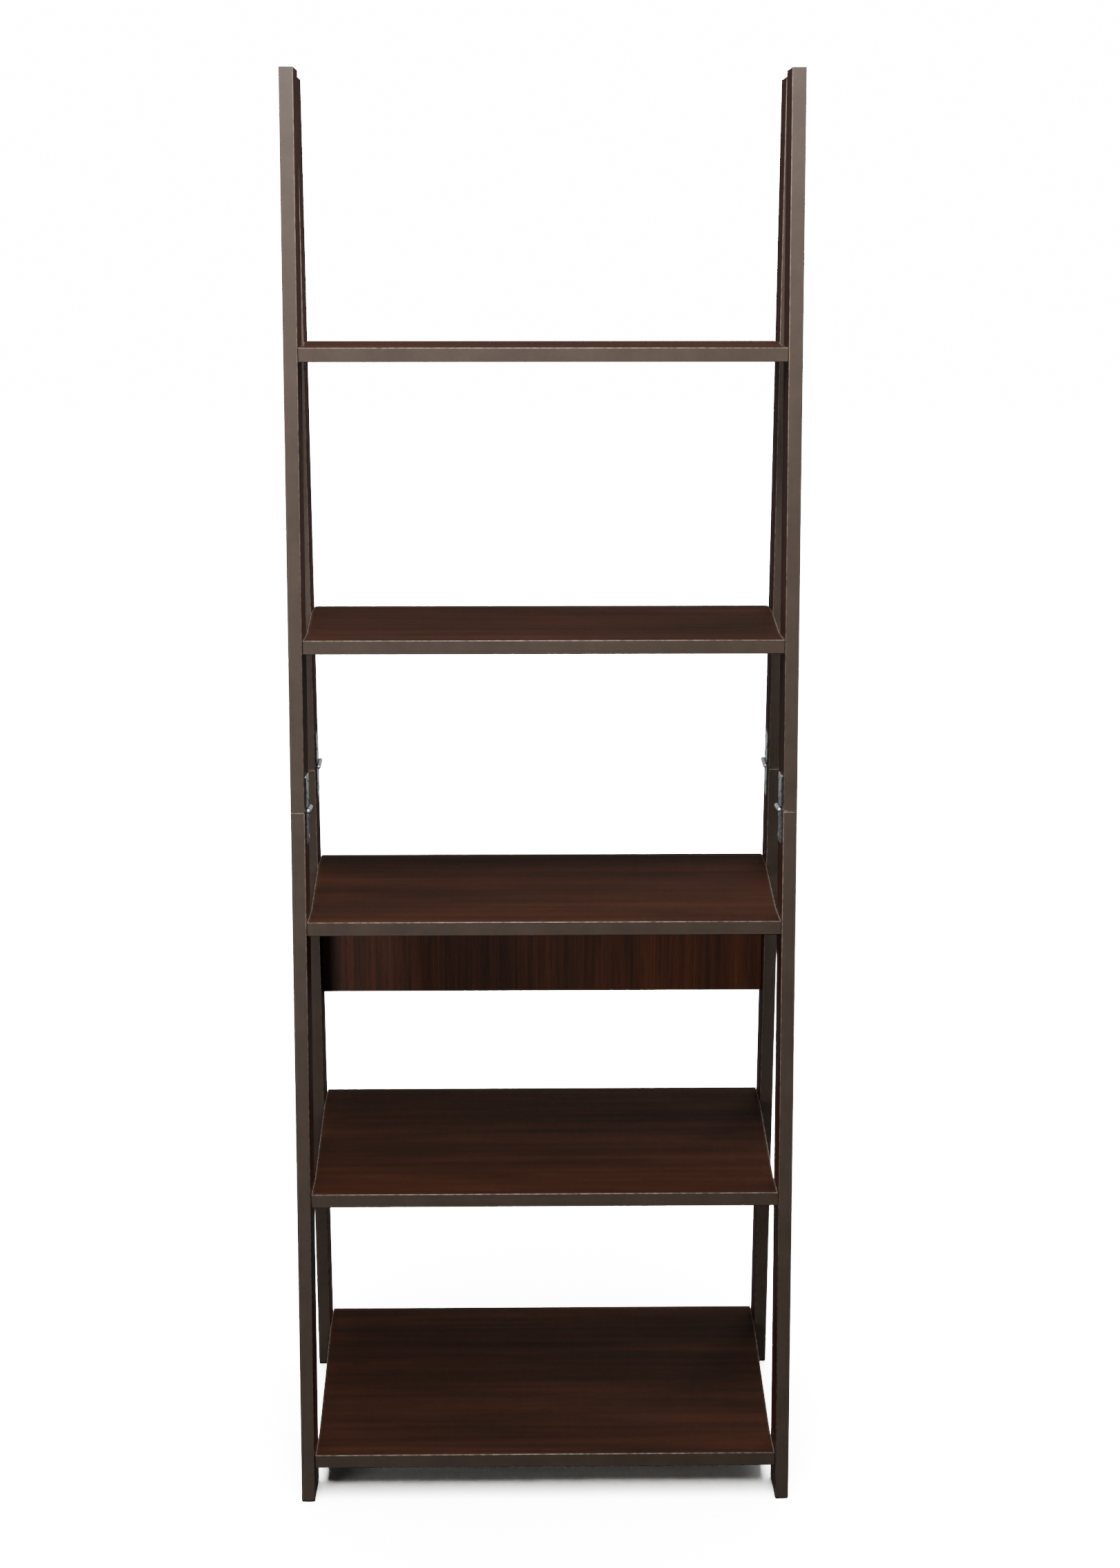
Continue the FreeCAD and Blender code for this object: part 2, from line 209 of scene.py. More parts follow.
def thicken(bm: BMesh, faces: Sequence[BMFace], sweep: Vector) -> list[BMFace]:
    """Extrude connected flat faces into a closed solid with its faces outwards.

    Args:
        bm: Mesh that holds the faces.
        faces: Flat faces to extrude.
        sweep: Direction and length of the extrusion.

    Returns:
        The faces of the solid.
    """
    made = bmesh.ops.extrude_face_region(bm, geom=list(faces), use_keep_orig=True)["geom"]
    moved = [item for item in made if isinstance(item, BMVert)]
    bmesh.ops.translate(bm, vec=sweep, verts=moved)
    solid = set(faces)
    for vert in moved:
        solid.update(vert.link_faces)
    bmesh.ops.recalc_face_normals(bm, faces=list(solid))
    return list(solid)


def edges_of(faces: Iterable[BMFace]) -> set[BMEdge]:
    """Collect the edges of some faces."""
    return {edge for face in faces for edge in face.edges}


def round_over(bm: BMesh, edges: Iterable[BMEdge], width: float, segments: int) -> list[BMFace]:
    """Bevel edges and shade the new faces smooth.

    Args:
        bm: Mesh that holds the edges.
        edges: Edges to round.
        width: Distance of the bevel from the edge, in metres.
        segments: Faces across the bevel.

    Returns:
        The faces of the bevel.
    """
    made = bmesh.ops.bevel(
        bm,
        geom=list(edges),
        offset=width,
        offset_type="OFFSET",
        affect="EDGES",
        segments=segments,
        profile=0.5,
        material=-1,
        clamp_overlap=True,
    )
    for face in made["faces"]:
        face.smooth = True
    return made["faces"]


def lathe(
    bm: BMesh, profile: Sequence[tuple[float, float]], centre: Vector, axis: Vector, steps: int
) -> None:
    """Spin a profile round an axis; close_up() joins its poles and turns its faces outwards.

    Args:
        bm: Mesh that gets the solid.
        profile: Distance along the axis and radius of each point, from axis to axis.
        centre: Point on the axis from which the distances count.
        axis: Unit direction of the axis.
        steps: Number of faces round the axis.
    """
    out = axis.orthogonal().normalized()
    verts = [bm.verts.new(centre + axis * along + out * radius) for along, radius in profile]
    edges = [bm.edges.new(pair) for pair in zip(verts, verts[1:])]
    bmesh.ops.spin(
        bm, geom=verts + edges, cent=centre, axis=axis, angle=math.tau, steps=steps, use_merge=True
    )


def close_up(bm: BMesh) -> None:
    """Merge doubled points and turn every face outwards."""
    bmesh.ops.remove_doubles(bm, verts=bm.verts, dist=FLAT_TOLERANCE)
    bmesh.ops.recalc_face_normals(bm, faces=bm.faces)


def shade_by_angle(bm: BMesh, degrees: float) -> None:
    """Shade every face smooth and keep edges sharper than an angle crisp.

    Args:
        bm: Mesh to shade.
        degrees: The angle between two faces from which their edge stays crisp.
    """
    for face in bm.faces:
        face.smooth = True
    for edge in bm.edges:
        edge.smooth = edge.calc_face_angle(0.0) < math.radians(degrees)


def add_object(name: str, bm: BMesh, materials: Sequence[Look] = ()) -> Object:
    """Put a finished mesh in the scene.

    Args:
        name: Name of the object.
        bm: Its mesh, which is freed.
        materials: Materials in the order of the face indices.

    Returns:
        The new object.
    """
    mesh = bpy.data.meshes.new(name)
    bm.to_mesh(mesh)
    bm.free()
    for material in materials:
        mesh.materials.append(material)
    piece = bpy.data.objects.new(name, mesh)
    bpy.context.scene.collection.objects.link(piece)
    return piece


def make_piece(
    name: str, bm: BMesh, materials: Sequence[Look], nodes: Sequence[str]
) -> None:
    """Turn a finished mesh into a piece that rides with the shelf.

    Args:
        name: Name of the piece.
        bm: Its mesh, which is freed.
        materials: Materials in the order of the face indices.
        nodes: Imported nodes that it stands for.
    """
    piece = add_object(name, bm, materials)
    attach(piece, "root")
    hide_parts(*nodes)
    LOG.info("%s: %d faces", name, len(piece.data.polygons))


def dress(node_name: str, material: Look) -> None:
    """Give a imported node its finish.

    Args:
        node_name: Name of the node.
        material: Its finish.
    """
    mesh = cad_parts[node_name].data
    for index in range(len(mesh.materials)):
        mesh.materials[index] = material


def group(name: str, pieces: Sequence[Object]) -> Collection:
    """Collect the pieces that a light is kept to.

    Args:
        name: Name of the collection.
        pieces: The pieces.

    Returns:
        The new collection.
    """
    collection = bpy.data.collections.new(name)
    for piece in pieces:
        collection.objects.link(piece)
    return collection


# ---------------------------------------------------------------- finishes


class Grain(Enum):
    """How a board's printed grain lies: the axis that it follows and the lean of its rail."""

    ACROSS = (0, 0.0)
    UP_FRONT_RAIL = (2, math.atan(FRONT_RUN / RAIL_HEIGHT))
    UP_REAR_RAIL = (2, -math.atan(REAR_RUN / RAIL_HEIGHT))

    @property
    def axis(self) -> int:
        """Number of the axis that the grain follows once its lean is taken out."""
        return self.value[0]

    @property
    def lean(self) -> float:
        """Lean of the grain off the vertical, in radians."""
        return self.value[1]


@dataclass(frozen=True)
class Pattern:
    """One layer of printed grain: the size of its cells in millimetres and its character."""

    length: float
    width: float
    shift: float
    detail: float
    coarseness: float = 0.5
    wander: float = 0.0


class UnevenGloss:
    """A finish whose roughness follows one of its own patterns."""

    roughness: tuple[float, float]

    def gloss(self, tree: NodeTree, pattern: NodeSocket) -> NodeSocket:
        """Spread the roughness over a pattern.

        Args:
            tree: Node tree of the material.
            pattern: Noise that the roughness follows.

        Returns:
            The roughness.
        """
        low, high = self.roughness
        spread = {"From Min": NOISE_LOW, "From Max": NOISE_HIGH, "To Min": low, "To Max": high}
        return add_node(tree, "ShaderNodeMapRange", {"Value": pattern, **spread}).outputs["Result"]


@dataclass(frozen=True)
class Melamine(UnevenGloss):
    """Dark walnut melamine paper on particle board: printed grain under a hard satin resin skin."""

    name: str
    grain: Grain
    deep: str = "#22120b"
    dark: str = "#341c12"
    mid: str = "#482717"
    warm: str = "#5f341f"
    bands: Pattern = Pattern(520.0, 24.0, 3.1, 5.0, 0.62, 0.5)
    streaks: Pattern = Pattern(190.0, 2.6, 7.7, 5.0, 0.68)
    pores: Pattern = Pattern(22.0, 1.3, 1.9, 2.0)
    clouds: Pattern = Pattern(420.0, 120.0, 5.3, 2.0)
    streak_share: float = 0.36
    cloud_share: float = 0.42
    stops: tuple[float, ...] = (0.32, 0.44, 0.54, 0.68)
    pore_range: tuple[float, float] = (0.56, 0.70)
    pore_depth: float = 0.5
    roughness: tuple[float, float] = (0.36, 0.50)
    bump: float = 0.22
    relief: float = 0.12
    resin_ior: float = 1.5

    def layer(
        self, tree: NodeTree, place: NodeSocket, pattern: Pattern
    ) -> NodeSocket:
        """Lay one pattern along the grain.

        Args:
            tree: Node tree of the material.
            place: Coordinates with the lean of the rail taken out.
            pattern: The pattern to lay.

        Returns:
            Its value, from zero to one.
        """
        scale = [MM_PER_M / pattern.width] * 3
        scale[self.grain.axis] = MM_PER_M / pattern.length
        shift = (pattern.shift,) * 3
        cells = add_node(
            tree, "ShaderNodeMapping", {"Vector": place, "Scale": scale, "Location": shift}
        ).outputs["Vector"]
        look = {
            "Vector": cells,
            "Scale": 1.0,
            "Detail": pattern.detail,
            "Roughness": pattern.coarseness,
            "Distortion": pattern.wander,
        }
        return add_node(tree, "ShaderNodeTexNoise", look).outputs["Fac"]

    def make(self) -> Look:
        """Build the material.

        Returns:
            The material with its bands, clouds, streaks and pores.
        """
        material, tree = new_material(self.name)
        place = add_node(tree, "ShaderNodeTexCoord").outputs["Object"]
        turned = add_node(
            tree, "ShaderNodeMapping", {"Vector": place, "Rotation": (self.grain.lean, 0.0, 0.0)}
        ).outputs["Vector"]
        bands, clouds, streaks, pores = (
            self.layer(tree, turned, pattern)
            for pattern in (self.bands, self.clouds, self.streaks, self.pores)
        )
        soft = add_node(
            tree, "ShaderNodeMix", {"Factor": self.cloud_share, 2: bands, 3: clouds}, data_type="FLOAT"
        ).outputs[0]
        figure = add_node(
            tree, "ShaderNodeMix", {"Factor": self.streak_share, 2: soft, 3: streaks}, data_type="FLOAT"
        ).outputs[0]
        ramp = add_node(tree, "ShaderNodeValToRGB", {"Fac": figure})
        set_ramp(ramp, list(zip(self.stops, (self.deep, self.dark, self.mid, self.warm))))
        low, high = self.pore_range
        pore_mask = add_node(
            tree, "ShaderNodeMapRange", {"Value": pores, "From Min": low, "From Max": high}
        ).outputs["Result"]
        pore_part = add_node(
            tree, "ShaderNodeMath", {0: pore_mask, 1: self.pore_depth}, operation="MULTIPLY"
        ).outputs[0]
        base = add_node(
            tree,
            "ShaderNodeMix",
            {"Factor": pore_part, 6: ramp.outputs["Color"], 7: colour(self.deep)},
            data_type="RGBA",
        ).outputs[2]
        gloss = self.gloss(tree, streaks)
        height = add_node(
            tree, "ShaderNodeMath", {0: pore_mask, 1: streaks}, operation="SUBTRACT"
        ).outputs[0]
        bump = add_node(
            tree,
            "ShaderNodeBump",
            {"Strength": self.bump, "Distance": self.relief * MM, "Height": height},
            invert=True,
        ).outputs["Normal"]
        shader = add_node(
            tree,
            "ShaderNodeBsdfPrincipled",
            {"Base Color": base, "Roughness": gloss, "Normal": bump, "IOR": self.resin_ior},
        )
        add_node(tree, "ShaderNodeOutputMaterial", {"Surface": shader.outputs["BSDF"]})
        return material


@dataclass(frozen=True)
class SatinFinish(UnevenGloss):
    """A moulded, sheeted or plated surface: one colour with slow mottling and a fine pebble."""

    name: str
    base: str
    accent: str
    mottle_size: float
    pebble_size: float
    roughness: tuple[float, float]
    relief: float
    metallic: float = 0.0
    stretch: tuple[float, float, float] = (1.0, 1.0, 1.0)
    break_up: tuple[float, float] = (0.35, 0.65)
    bump: float = 0.25

    def make(self) -> Look:
        """Build the material.

        Returns:
            The material with its mottling, pebble and uneven gloss.
        """
        material, tree = new_material(self.name)
        place = add_node(tree, "ShaderNodeTexCoord").outputs["Object"]
        drawn = add_node(
            tree, "ShaderNodeMapping", {"Vector": place, "Scale": self.stretch}
        ).outputs["Vector"]
        mottle = add_node(
            tree,
            "ShaderNodeTexNoise",
            {"Vector": drawn, "Scale": MM_PER_M / self.mottle_size, "Detail": 5.0, "Roughness": 0.6},
        ).outputs["Fac"]
        pebble = add_node(
            tree,
            "ShaderNodeTexNoise",
            {"Vector": place, "Scale": MM_PER_M / self.pebble_size, "Detail": 3.0},
        ).outputs["Fac"]
        low, high = self.break_up
        share = add_node(
            tree, "ShaderNodeMapRange", {"Value": mottle, "From Min": low, "From Max": high}
        ).outputs["Result"]
        base = add_node(
            tree,
            "ShaderNodeMix",
            {"Factor": share, 6: colour(self.base), 7: colour(self.accent)},
            data_type="RGBA",
        ).outputs[2]
        gloss = self.gloss(tree, pebble)
        bump = add_node(
            tree, "ShaderNodeBump", {"Strength": self.bump, "Distance": self.relief * MM, "Height": pebble}
        ).outputs["Normal"]
        shader = add_node(
            tree,
            "ShaderNodeBsdfPrincipled",
            {"Base Color": base, "Roughness": gloss, "Normal": bump, "Metallic": self.metallic},
        )
        add_node(tree, "ShaderNodeOutputMaterial", {"Surface": shader.outputs["BSDF"]})
        return material


def made(finish: Melamine | SatinFinish) -> Any:
    """Give a dataclass the field that builds a finish."""
    return field(default_factory=finish.make)


@dataclass
class Finishes:
    """Every material of the shelf, built once."""

    # Melamine-faced board: the printed walnut runs with each board's length.
    shelf_board: Look = made(Melamine("walnut_melamine_shelf", Grain.ACROSS))
    front_rail_board: Look = made(Melamine("walnut_melamine_front_rail", Grain.UP_FRONT_RAIL))
    rear_rail_board: Look = made(Melamine("walnut_melamine_rear_rail", Grain.UP_REAR_RAIL))
    # The brace is the same sheet, cut with its grain upright; its colours are a lighter, redder copy of the
    # shelf walnut, painted light that lifts the brace out of the shade under the shelves.
    brace_board: Look = made(
        Melamine(
            "walnut_melamine_brace",
            Grain.UP_REAR_RAIL,
            deep="#26140b",
            dark="#3d2112",
            mid="#532b17",
            warm="#6d3b1d",
        )
    )
    # ABS edge banding, calendered with a fine pebble and a low sheen.
    banding: Look = made(
        SatinFinish("taupe_abs_banding", "#52453c", "#5a4c42", 40.0, 0.9, (0.42, 0.56), 0.05)
    )
    # Arrises along the rails' inner faces are painted a shade paler, in patches: a painted highlight along
    # the edges.
    rubbed: Look = made(
        SatinFinish("rubbed_abs_arris", "#5a4c42", "#8c7a6b", 9.0, 0.8, (0.45, 0.6), 0.03)
    )
    # The pale arris: at the rails' splits it is the raw, paler ABS; at the rails' tops and along the
    # shelves' upper edges the same pale colour is a painted highlight. Patchy throughout.
    arris: Look = made(
        SatinFinish("raw_and_highlight_abs_arris", "#6f6156", "#b9a998", 7.0, 0.8, (0.5, 0.7), 0.03)
    )
    # Moulded polypropylene, dull and lightly textured.
    foot: Look = made(
        SatinFinish("moulded_pp_foot", "#241d19", "#2e2621", 6.0, 0.7, (0.5, 0.65), 0.05)
    )
    # Bright zinc plate on stamped steel: bluish, with cloudy gloss.
    zinc: Look = made(
        SatinFinish("bright_zinc_plate", "#7b8589", "#abb4b7", 4.0, 0.6, (0.24, 0.42), 0.03, metallic=1.0)
    )
    # Drawn and peened steel wire.
    wire: Look = made(
        SatinFinish("drawn_steel_pin", "#cfd0d0", "#e6e6e5", 2.5, 0.5, (0.3, 0.42), 0.02, metallic=1.0)
    )
    # Zinc-plated screw steel, a little duller than the leaves.
    screw: Look = made(
        SatinFinish("plated_screw_steel", "#b6babb", "#d6d8d9", 3.0, 0.5, (0.3, 0.44), 0.02, metallic=1.0)
    )
    # Moulded polyethylene caps, slightly waxy.
    cap: Look = made(
        SatinFinish("moulded_pe_cap", "#2a1a13", "#352219", 4.0, 0.6, (0.38, 0.5), 0.03)
    )
    # Turned beech, plain and dry.
    dowel: Look = made(
        SatinFinish(
            "turned_beech_dowel", "#c9a57c", "#b58c61", 3.0, 0.6, (0.55, 0.7), 0.05, stretch=(0.12, 1.0, 1.0)
        )
    )


# ---------------------------------------------------------------- rails and their banding


@dataclass
class RailLine:
    """Where one leaning rail runs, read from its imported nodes."""

    kind: RailKind
    side: Side
    inner: float = field(init=False)
    outer: float = field(init=False)
    foot_y: float = field(init=False)
    half_level: float = field(init=False)
    foot_top: float = field(init=False)
    height: float = field(init=False)
    split_z: float = field(init=False)
    angle: float = field(init=False)

    def __post_init__(self) -> None:
        """Read the foot, the top and the split."""
        foot_low, foot_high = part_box(self.name("foot_cap"))
        top_low, top_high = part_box(self.name("upper_edging"))
        pin_low, pin_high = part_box(self.name("hinge_pin"))
        board_low, board_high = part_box(self.name("upper_rail"))
        faces = sorted((board_low[0], board_high[0]), key=abs)
        self.inner, self.outer = faces
        self.foot_y = (foot_low[1] + foot_high[1]) / 2
        self.half_level = (foot_high[1] - foot_low[1]) / 2
        lower_low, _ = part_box(self.name("lower_edging"))
        self.foot_top = lower_low[2]
        self.height = top_high[2]
        if self.kind is RailKind.FRONT:
            top_edge = top_high[1] - self.half_level
        else:
            top_edge = top_low[1] + self.half_level
        self.angle = math.atan((top_edge - self.foot_y) / self.height)
        self.split_z = (pin_low[2] + pin_high[2]) / 2

    def name(self, part: str) -> str:
        """Name of one of this rail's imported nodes."""
        return f"{self.kind.word}_{self.side.word}_{part}"

    @property
    def half_width(self) -> float:
        """Half of the board's width, square to its length."""
        return self.half_level * math.cos(self.angle)

    def centre_y(self, z: float) -> float:
        """Y of the rail's centre line at height z."""
        return self.foot_y + math.tan(self.angle) * z

    def point(self, x: float, across: float, along: float) -> Vector:
        """Point on the rail, measured from its centre at the split.

        Args:
            x: X of the point.
            across: Distance from the centre line, towards the back.
            along: Distance from the split, upwards along the rail.

        Returns:
            The point.
        """
        y = self.centre_y(self.split_z) + across * math.cos(self.angle) + along * math.sin(self.angle)
        z = self.split_z - across * math.sin(self.angle) + along * math.cos(self.angle)
        return Vector((x, y, z))

    def along_at(self, across: float, z: float) -> float:
        """Distance along the rail where the line at `across` reaches height z."""
        return (z - self.split_z + across * math.sin(self.angle)) / math.cos(self.angle)

    def across_of(self, point: Vector) -> float:
        """Distance of a point from the rail's centre line, towards the back."""
        y = point.y - self.centre_y(self.split_z)
        return y * math.cos(self.angle) - (point.z - self.split_z) * math.sin(self.angle)

    def along_of(self, point: Vector) -> float:
        """Distance of a point from the split, along the rail."""
        y = point.y - self.centre_y(self.split_z)
        return y * math.sin(self.angle) + (point.z - self.split_z) * math.cos(self.angle)

    def placement(self) -> Matrix:
        """Place the split's own frame.

        Returns:
            The frame on the inner face: X outwards, Y across and Z along the rail.
        """
        turn = Matrix.Rotation(-self.angle, 4, "X")
        flip = Matrix.Diagonal((self.side.value, 1.0, 1.0, 1.0))
        return Matrix.Translation(self.point(self.inner, 0.0, 0.0)) @ turn @ flip


@dataclass
class RailBanding:
    """Edge banding of one rail half, with pale arrises: painted highlight along its inner edges and its top,
    raw paler ABS at the split.
    """

    rail: RailLine
    half: Half
    finishes: Finishes
    thickness: float = 2.0 * MM
    arris: float = 0.9 * MM
    split_gap: float = 0.6 * MM
    foot_margin: float = 1.0 * MM

    def strip(self, bm: BMesh, outer: float, inner: float) -> None:
        """Add one strip along the rail between two lines.

        Args:
            bm: Mesh that gets the strip.
            outer: Line of its showing face, across the rail.
            inner: Line of its glued face.
        """
        start = self.half.value * self.split_gap / 2
        level = self.rail.height if self.half is Half.UPPER else self.rail.foot_top
        ends = [(across, start) for across in (outer, inner)]
        ends += [(across, self.rail.along_at(across, level)) for across in (inner, outer)]
        outline = [self.rail.point(self.rail.inner, *end) for end in ends]
        faces = prism(bm, outline, Vector((self.rail.outer - self.rail.inner, 0.0, 0.0)))
        edges_to_round = [edge for edge in edges_of(faces) if self.is_showing(edge, outer)]
        for face in round_over(bm, edges_to_round, self.arris, ROUND_SEGMENTS):
            face.material_index = self.finish_of(face, start)

    def is_showing(self, edge: BMEdge, outer: float) -> bool:
        """Find the edges of a strip's showing face, but not at the floor.

        Args:
            edge: Edge of the strip.
            outer: Line of the showing face, across the rail.

        Returns:
            Whether it is one of them.
        """
        on_face = all(abs(self.rail.across_of(vert.co) - outer) < NEAR for vert in edge.verts)
        at_floor = all(vert.co.z < self.rail.foot_top + self.foot_margin for vert in edge.verts)
        return on_face and not at_floor

    def finish_of(self, face: BMFace, start: float) -> int:
        """Pick the finish of one face of a rounded edge.

        Args:
            face: Face of the bevel.
            start: Distance of the strip's split end from the split, along the rail.

        Returns:
            2 for the pale arris, raw ABS at the split and a painted highlight at the top; 1 for the
            painted highlight on the arris beside the shelves; and 0 elsewhere.
        """
        centre = face.calc_center_median()
        at_split = abs(self.rail.along_of(centre) - start) < self.arris
        at_top = centre.z > self.rail.height - 2 * self.arris
        # Pale arris: raw ABS at the split, painted highlight at the rail's top.
        if at_split or at_top:
            return 2
        # Painted highlight on the arris along the inner face, beside the shelves.
        return int(abs(centre.x - self.rail.inner) < self.arris)

    def top_strip(self, bm: BMesh, inner: float) -> None:
        """Add the strip that closes the rail's top, between the two long strips.

        Args:
            bm: Mesh that gets the strip.
            inner: Distance of the long strips' glued faces from the rail's centre line.
        """
        rail = self.rail
        under = rail.height - self.thickness
        low = [rail.point(rail.inner, side, rail.along_at(side, under)) for side in (-inner, inner)]
        high = [rail.point(rail.inner, side, rail.along_at(side, rail.height)) for side in (inner, -inner)]
        faces = prism(bm, low + high, Vector((rail.outer - rail.inner, 0.0, 0.0)))
        edges_to_round = [edge for edge in edges_of(faces) if self.is_top_side(edge)]
        for face in round_over(bm, edges_to_round, self.arris, ROUND_SEGMENTS):
            # The inner-face arris of the top strip takes the painted highlight.
            face.material_index = int(abs(face.calc_center_median().x - rail.inner) < self.arris)

    def build(self) -> None:
        """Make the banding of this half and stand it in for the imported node."""
        bm = bmesh.new()
        outer = self.rail.half_width
        inner = outer - self.thickness
        for sign in (-1, 1):
            self.strip(bm, sign * outer, sign * inner)
        if self.half is Half.UPPER:
            self.top_strip(bm, inner)
        node = self.rail.name(f"{self.half.word}_edging")
        # Plain banding, the painted highlight on the inner arrises, and the pale arris.
        materials = (self.finishes.banding, self.finishes.rubbed, self.finishes.arris)
        make_piece(f"{node}_strips", bm, materials, (node,))

    def is_top_side(self, edge: BMEdge) -> bool:
        """True for the two edges along the top strip's showing face."""
        first, last = (vert.co for vert in edge.verts)
        return min(first.z, last.z) > self.rail.height - NEAR and abs(first.x - last.x) < NEAR


# ---------------------------------------------------------------- shelves and brace


@dataclass
class ShelfBanding:
    """Edge banding round one shelf: front, back and two tapered ends."""

    number: int
    front_rail: RailLine
    rear_rail: RailLine
    finishes: Finishes
    thickness: float = 2.0 * MM
    arris: float = 0.9 * MM
    end_gap: float = 0.6 * MM
    taper_margin: float = 4.0 * MM

    def end_stations(self, top: float, front: float, back: float) -> list[tuple[float, float]]:
        """Corners of one end's showing face, seen from above.

        Args:
            top: Height of the shelf's upper face.
            front: Y of the shelf's front face.
            back: Y of its back face.

        Returns:
            Half-width and Y of each corner, from front to back.
        """
        narrow = self.front_rail.inner - self.end_gap
        wide = self.rear_rail.inner - self.end_gap
        margin = self.taper_margin
        taper_start = self.front_rail.centre_y(top) + self.front_rail.half_level + margin
        taper_end = self.rear_rail.centre_y(top) - self.rear_rail.half_level - margin
        return [
            (narrow, front + self.thickness),
            (narrow, taper_start),
            (wide, taper_end),
            (wide, back - self.thickness),
        ]

    def build(self) -> None:
        """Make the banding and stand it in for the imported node."""
        node = f"shelf_{self.number}_edging"
        low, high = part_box(node)
        top = high[2]
        stations = self.end_stations(top, low[1], high[1])
        bm = bmesh.new()
        for half_width, edge_y, inward in ((stations[0][0], low[1], 1), (stations[-1][0], high[1], -1)):
            inner_y = edge_y + inward * self.thickness
            outer = [(-half_width, edge_y), (half_width, edge_y)]
            inner = [(half_width, inner_y), (-half_width, inner_y)]
            self.strip(bm, outer, inner, low[2], top)
        for sign in (-1, 1):
            outer = [(sign * x, y) for x, y in stations]
            inner = [(sign * (x - self.thickness), y) for x, y in reversed(stations)]
            self.strip(bm, outer, inner, low[2], top)
        materials = (self.finishes.banding, self.finishes.arris)
        make_piece(f"{node}_strips", bm, materials, (node,))

    def strip(
        self,
        bm: BMesh,
        outer: Sequence[tuple[float, float]],
        inner: Sequence[tuple[float, float]],
        bottom: float,
        top: float,
    ) -> None:
        """Add one strip, round the long edges of its showing face and give the upper ones the pale arris
        finish, a painted highlight.

        Args:
            bm: Mesh that gets the strip.
            outer: X and Y of the showing face's corners.
            inner: X and Y of the glued face's corners, in the opposite order.
            bottom: Height of the shelf's lower face.
            top: Height of its upper face.
        """
        outline = [Vector((x, y, top)) for x, y in (*outer, *inner)]
        faces = prism(bm, outline, Vector((0.0, 0.0, bottom - top)))
        edges_to_round = [edge for edge in edges_of(faces) if self.is_long_showing(edge, outer)]
        for face in round_over(bm, edges_to_round, self.arris, ROUND_SEGMENTS):
            # Upper arris faces take the pale arris finish, a painted highlight along the shelf's top edges.
            face.material_index = int(face.calc_center_median().z > top - self.arris)

    def is_long_showing(self, edge: BMEdge, outer: Sequence[tuple[float, float]]) -> bool:
        """True for level edges of a strip whose ends are both corners of the showing face."""
        level = abs(edge.verts[0].co.z - edge.verts[1].co.z) < FLAT_TOLERANCE
        return level and all(
            any(abs(vert.co.x - x) + abs(vert.co.y - y) < NEAR for x, y in outer) for vert in edge.verts
        )


@dataclass
class BraceBanding:
    """Banding strip on the lower edge of the back brace, between the rear rails."""

    rear_rail: RailLine
    finishes: Finishes
    arris: float = 0.9 * MM

    def build(self) -> None:
        """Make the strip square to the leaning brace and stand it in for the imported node."""
        node = "back_brace_edging"
        low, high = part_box(node)
        lean = math.tan(self.rear_rail.angle)
        drop = low[2] - high[2]
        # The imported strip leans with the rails, so its box is wider than the strip by this much.
        shear = abs(lean * drop)
        corners = (
            (low[1], high[2]),
            (high[1] - shear, high[2]),
            (high[1], low[2]),
            (low[1] + shear, low[2]),
        )
        bm = bmesh.new()
        outline = [Vector((low[0], y, z)) for y, z in corners]
        faces = prism(bm, outline, Vector((high[0] - low[0], 0.0, 0.0)))
        edges_to_round = [edge for edge in edges_of(faces) if self.is_lower_long(edge, low[2])]
        round_over(bm, edges_to_round, self.arris, ROUND_SEGMENTS)
        make_piece(f"{node}_strip", bm, (self.finishes.banding,), (node,))

    def is_lower_long(self, edge: BMEdge, floor: float) -> bool:
        """True for the two long edges of the strip's showing face, at height `floor`."""
        first, last = (vert.co for vert in edge.verts)
        return max(first.z, last.z) < floor + NEAR and abs(first.y - last.y) < FLAT_TOLERANCE


# ---------------------------------------------------------------- hinges


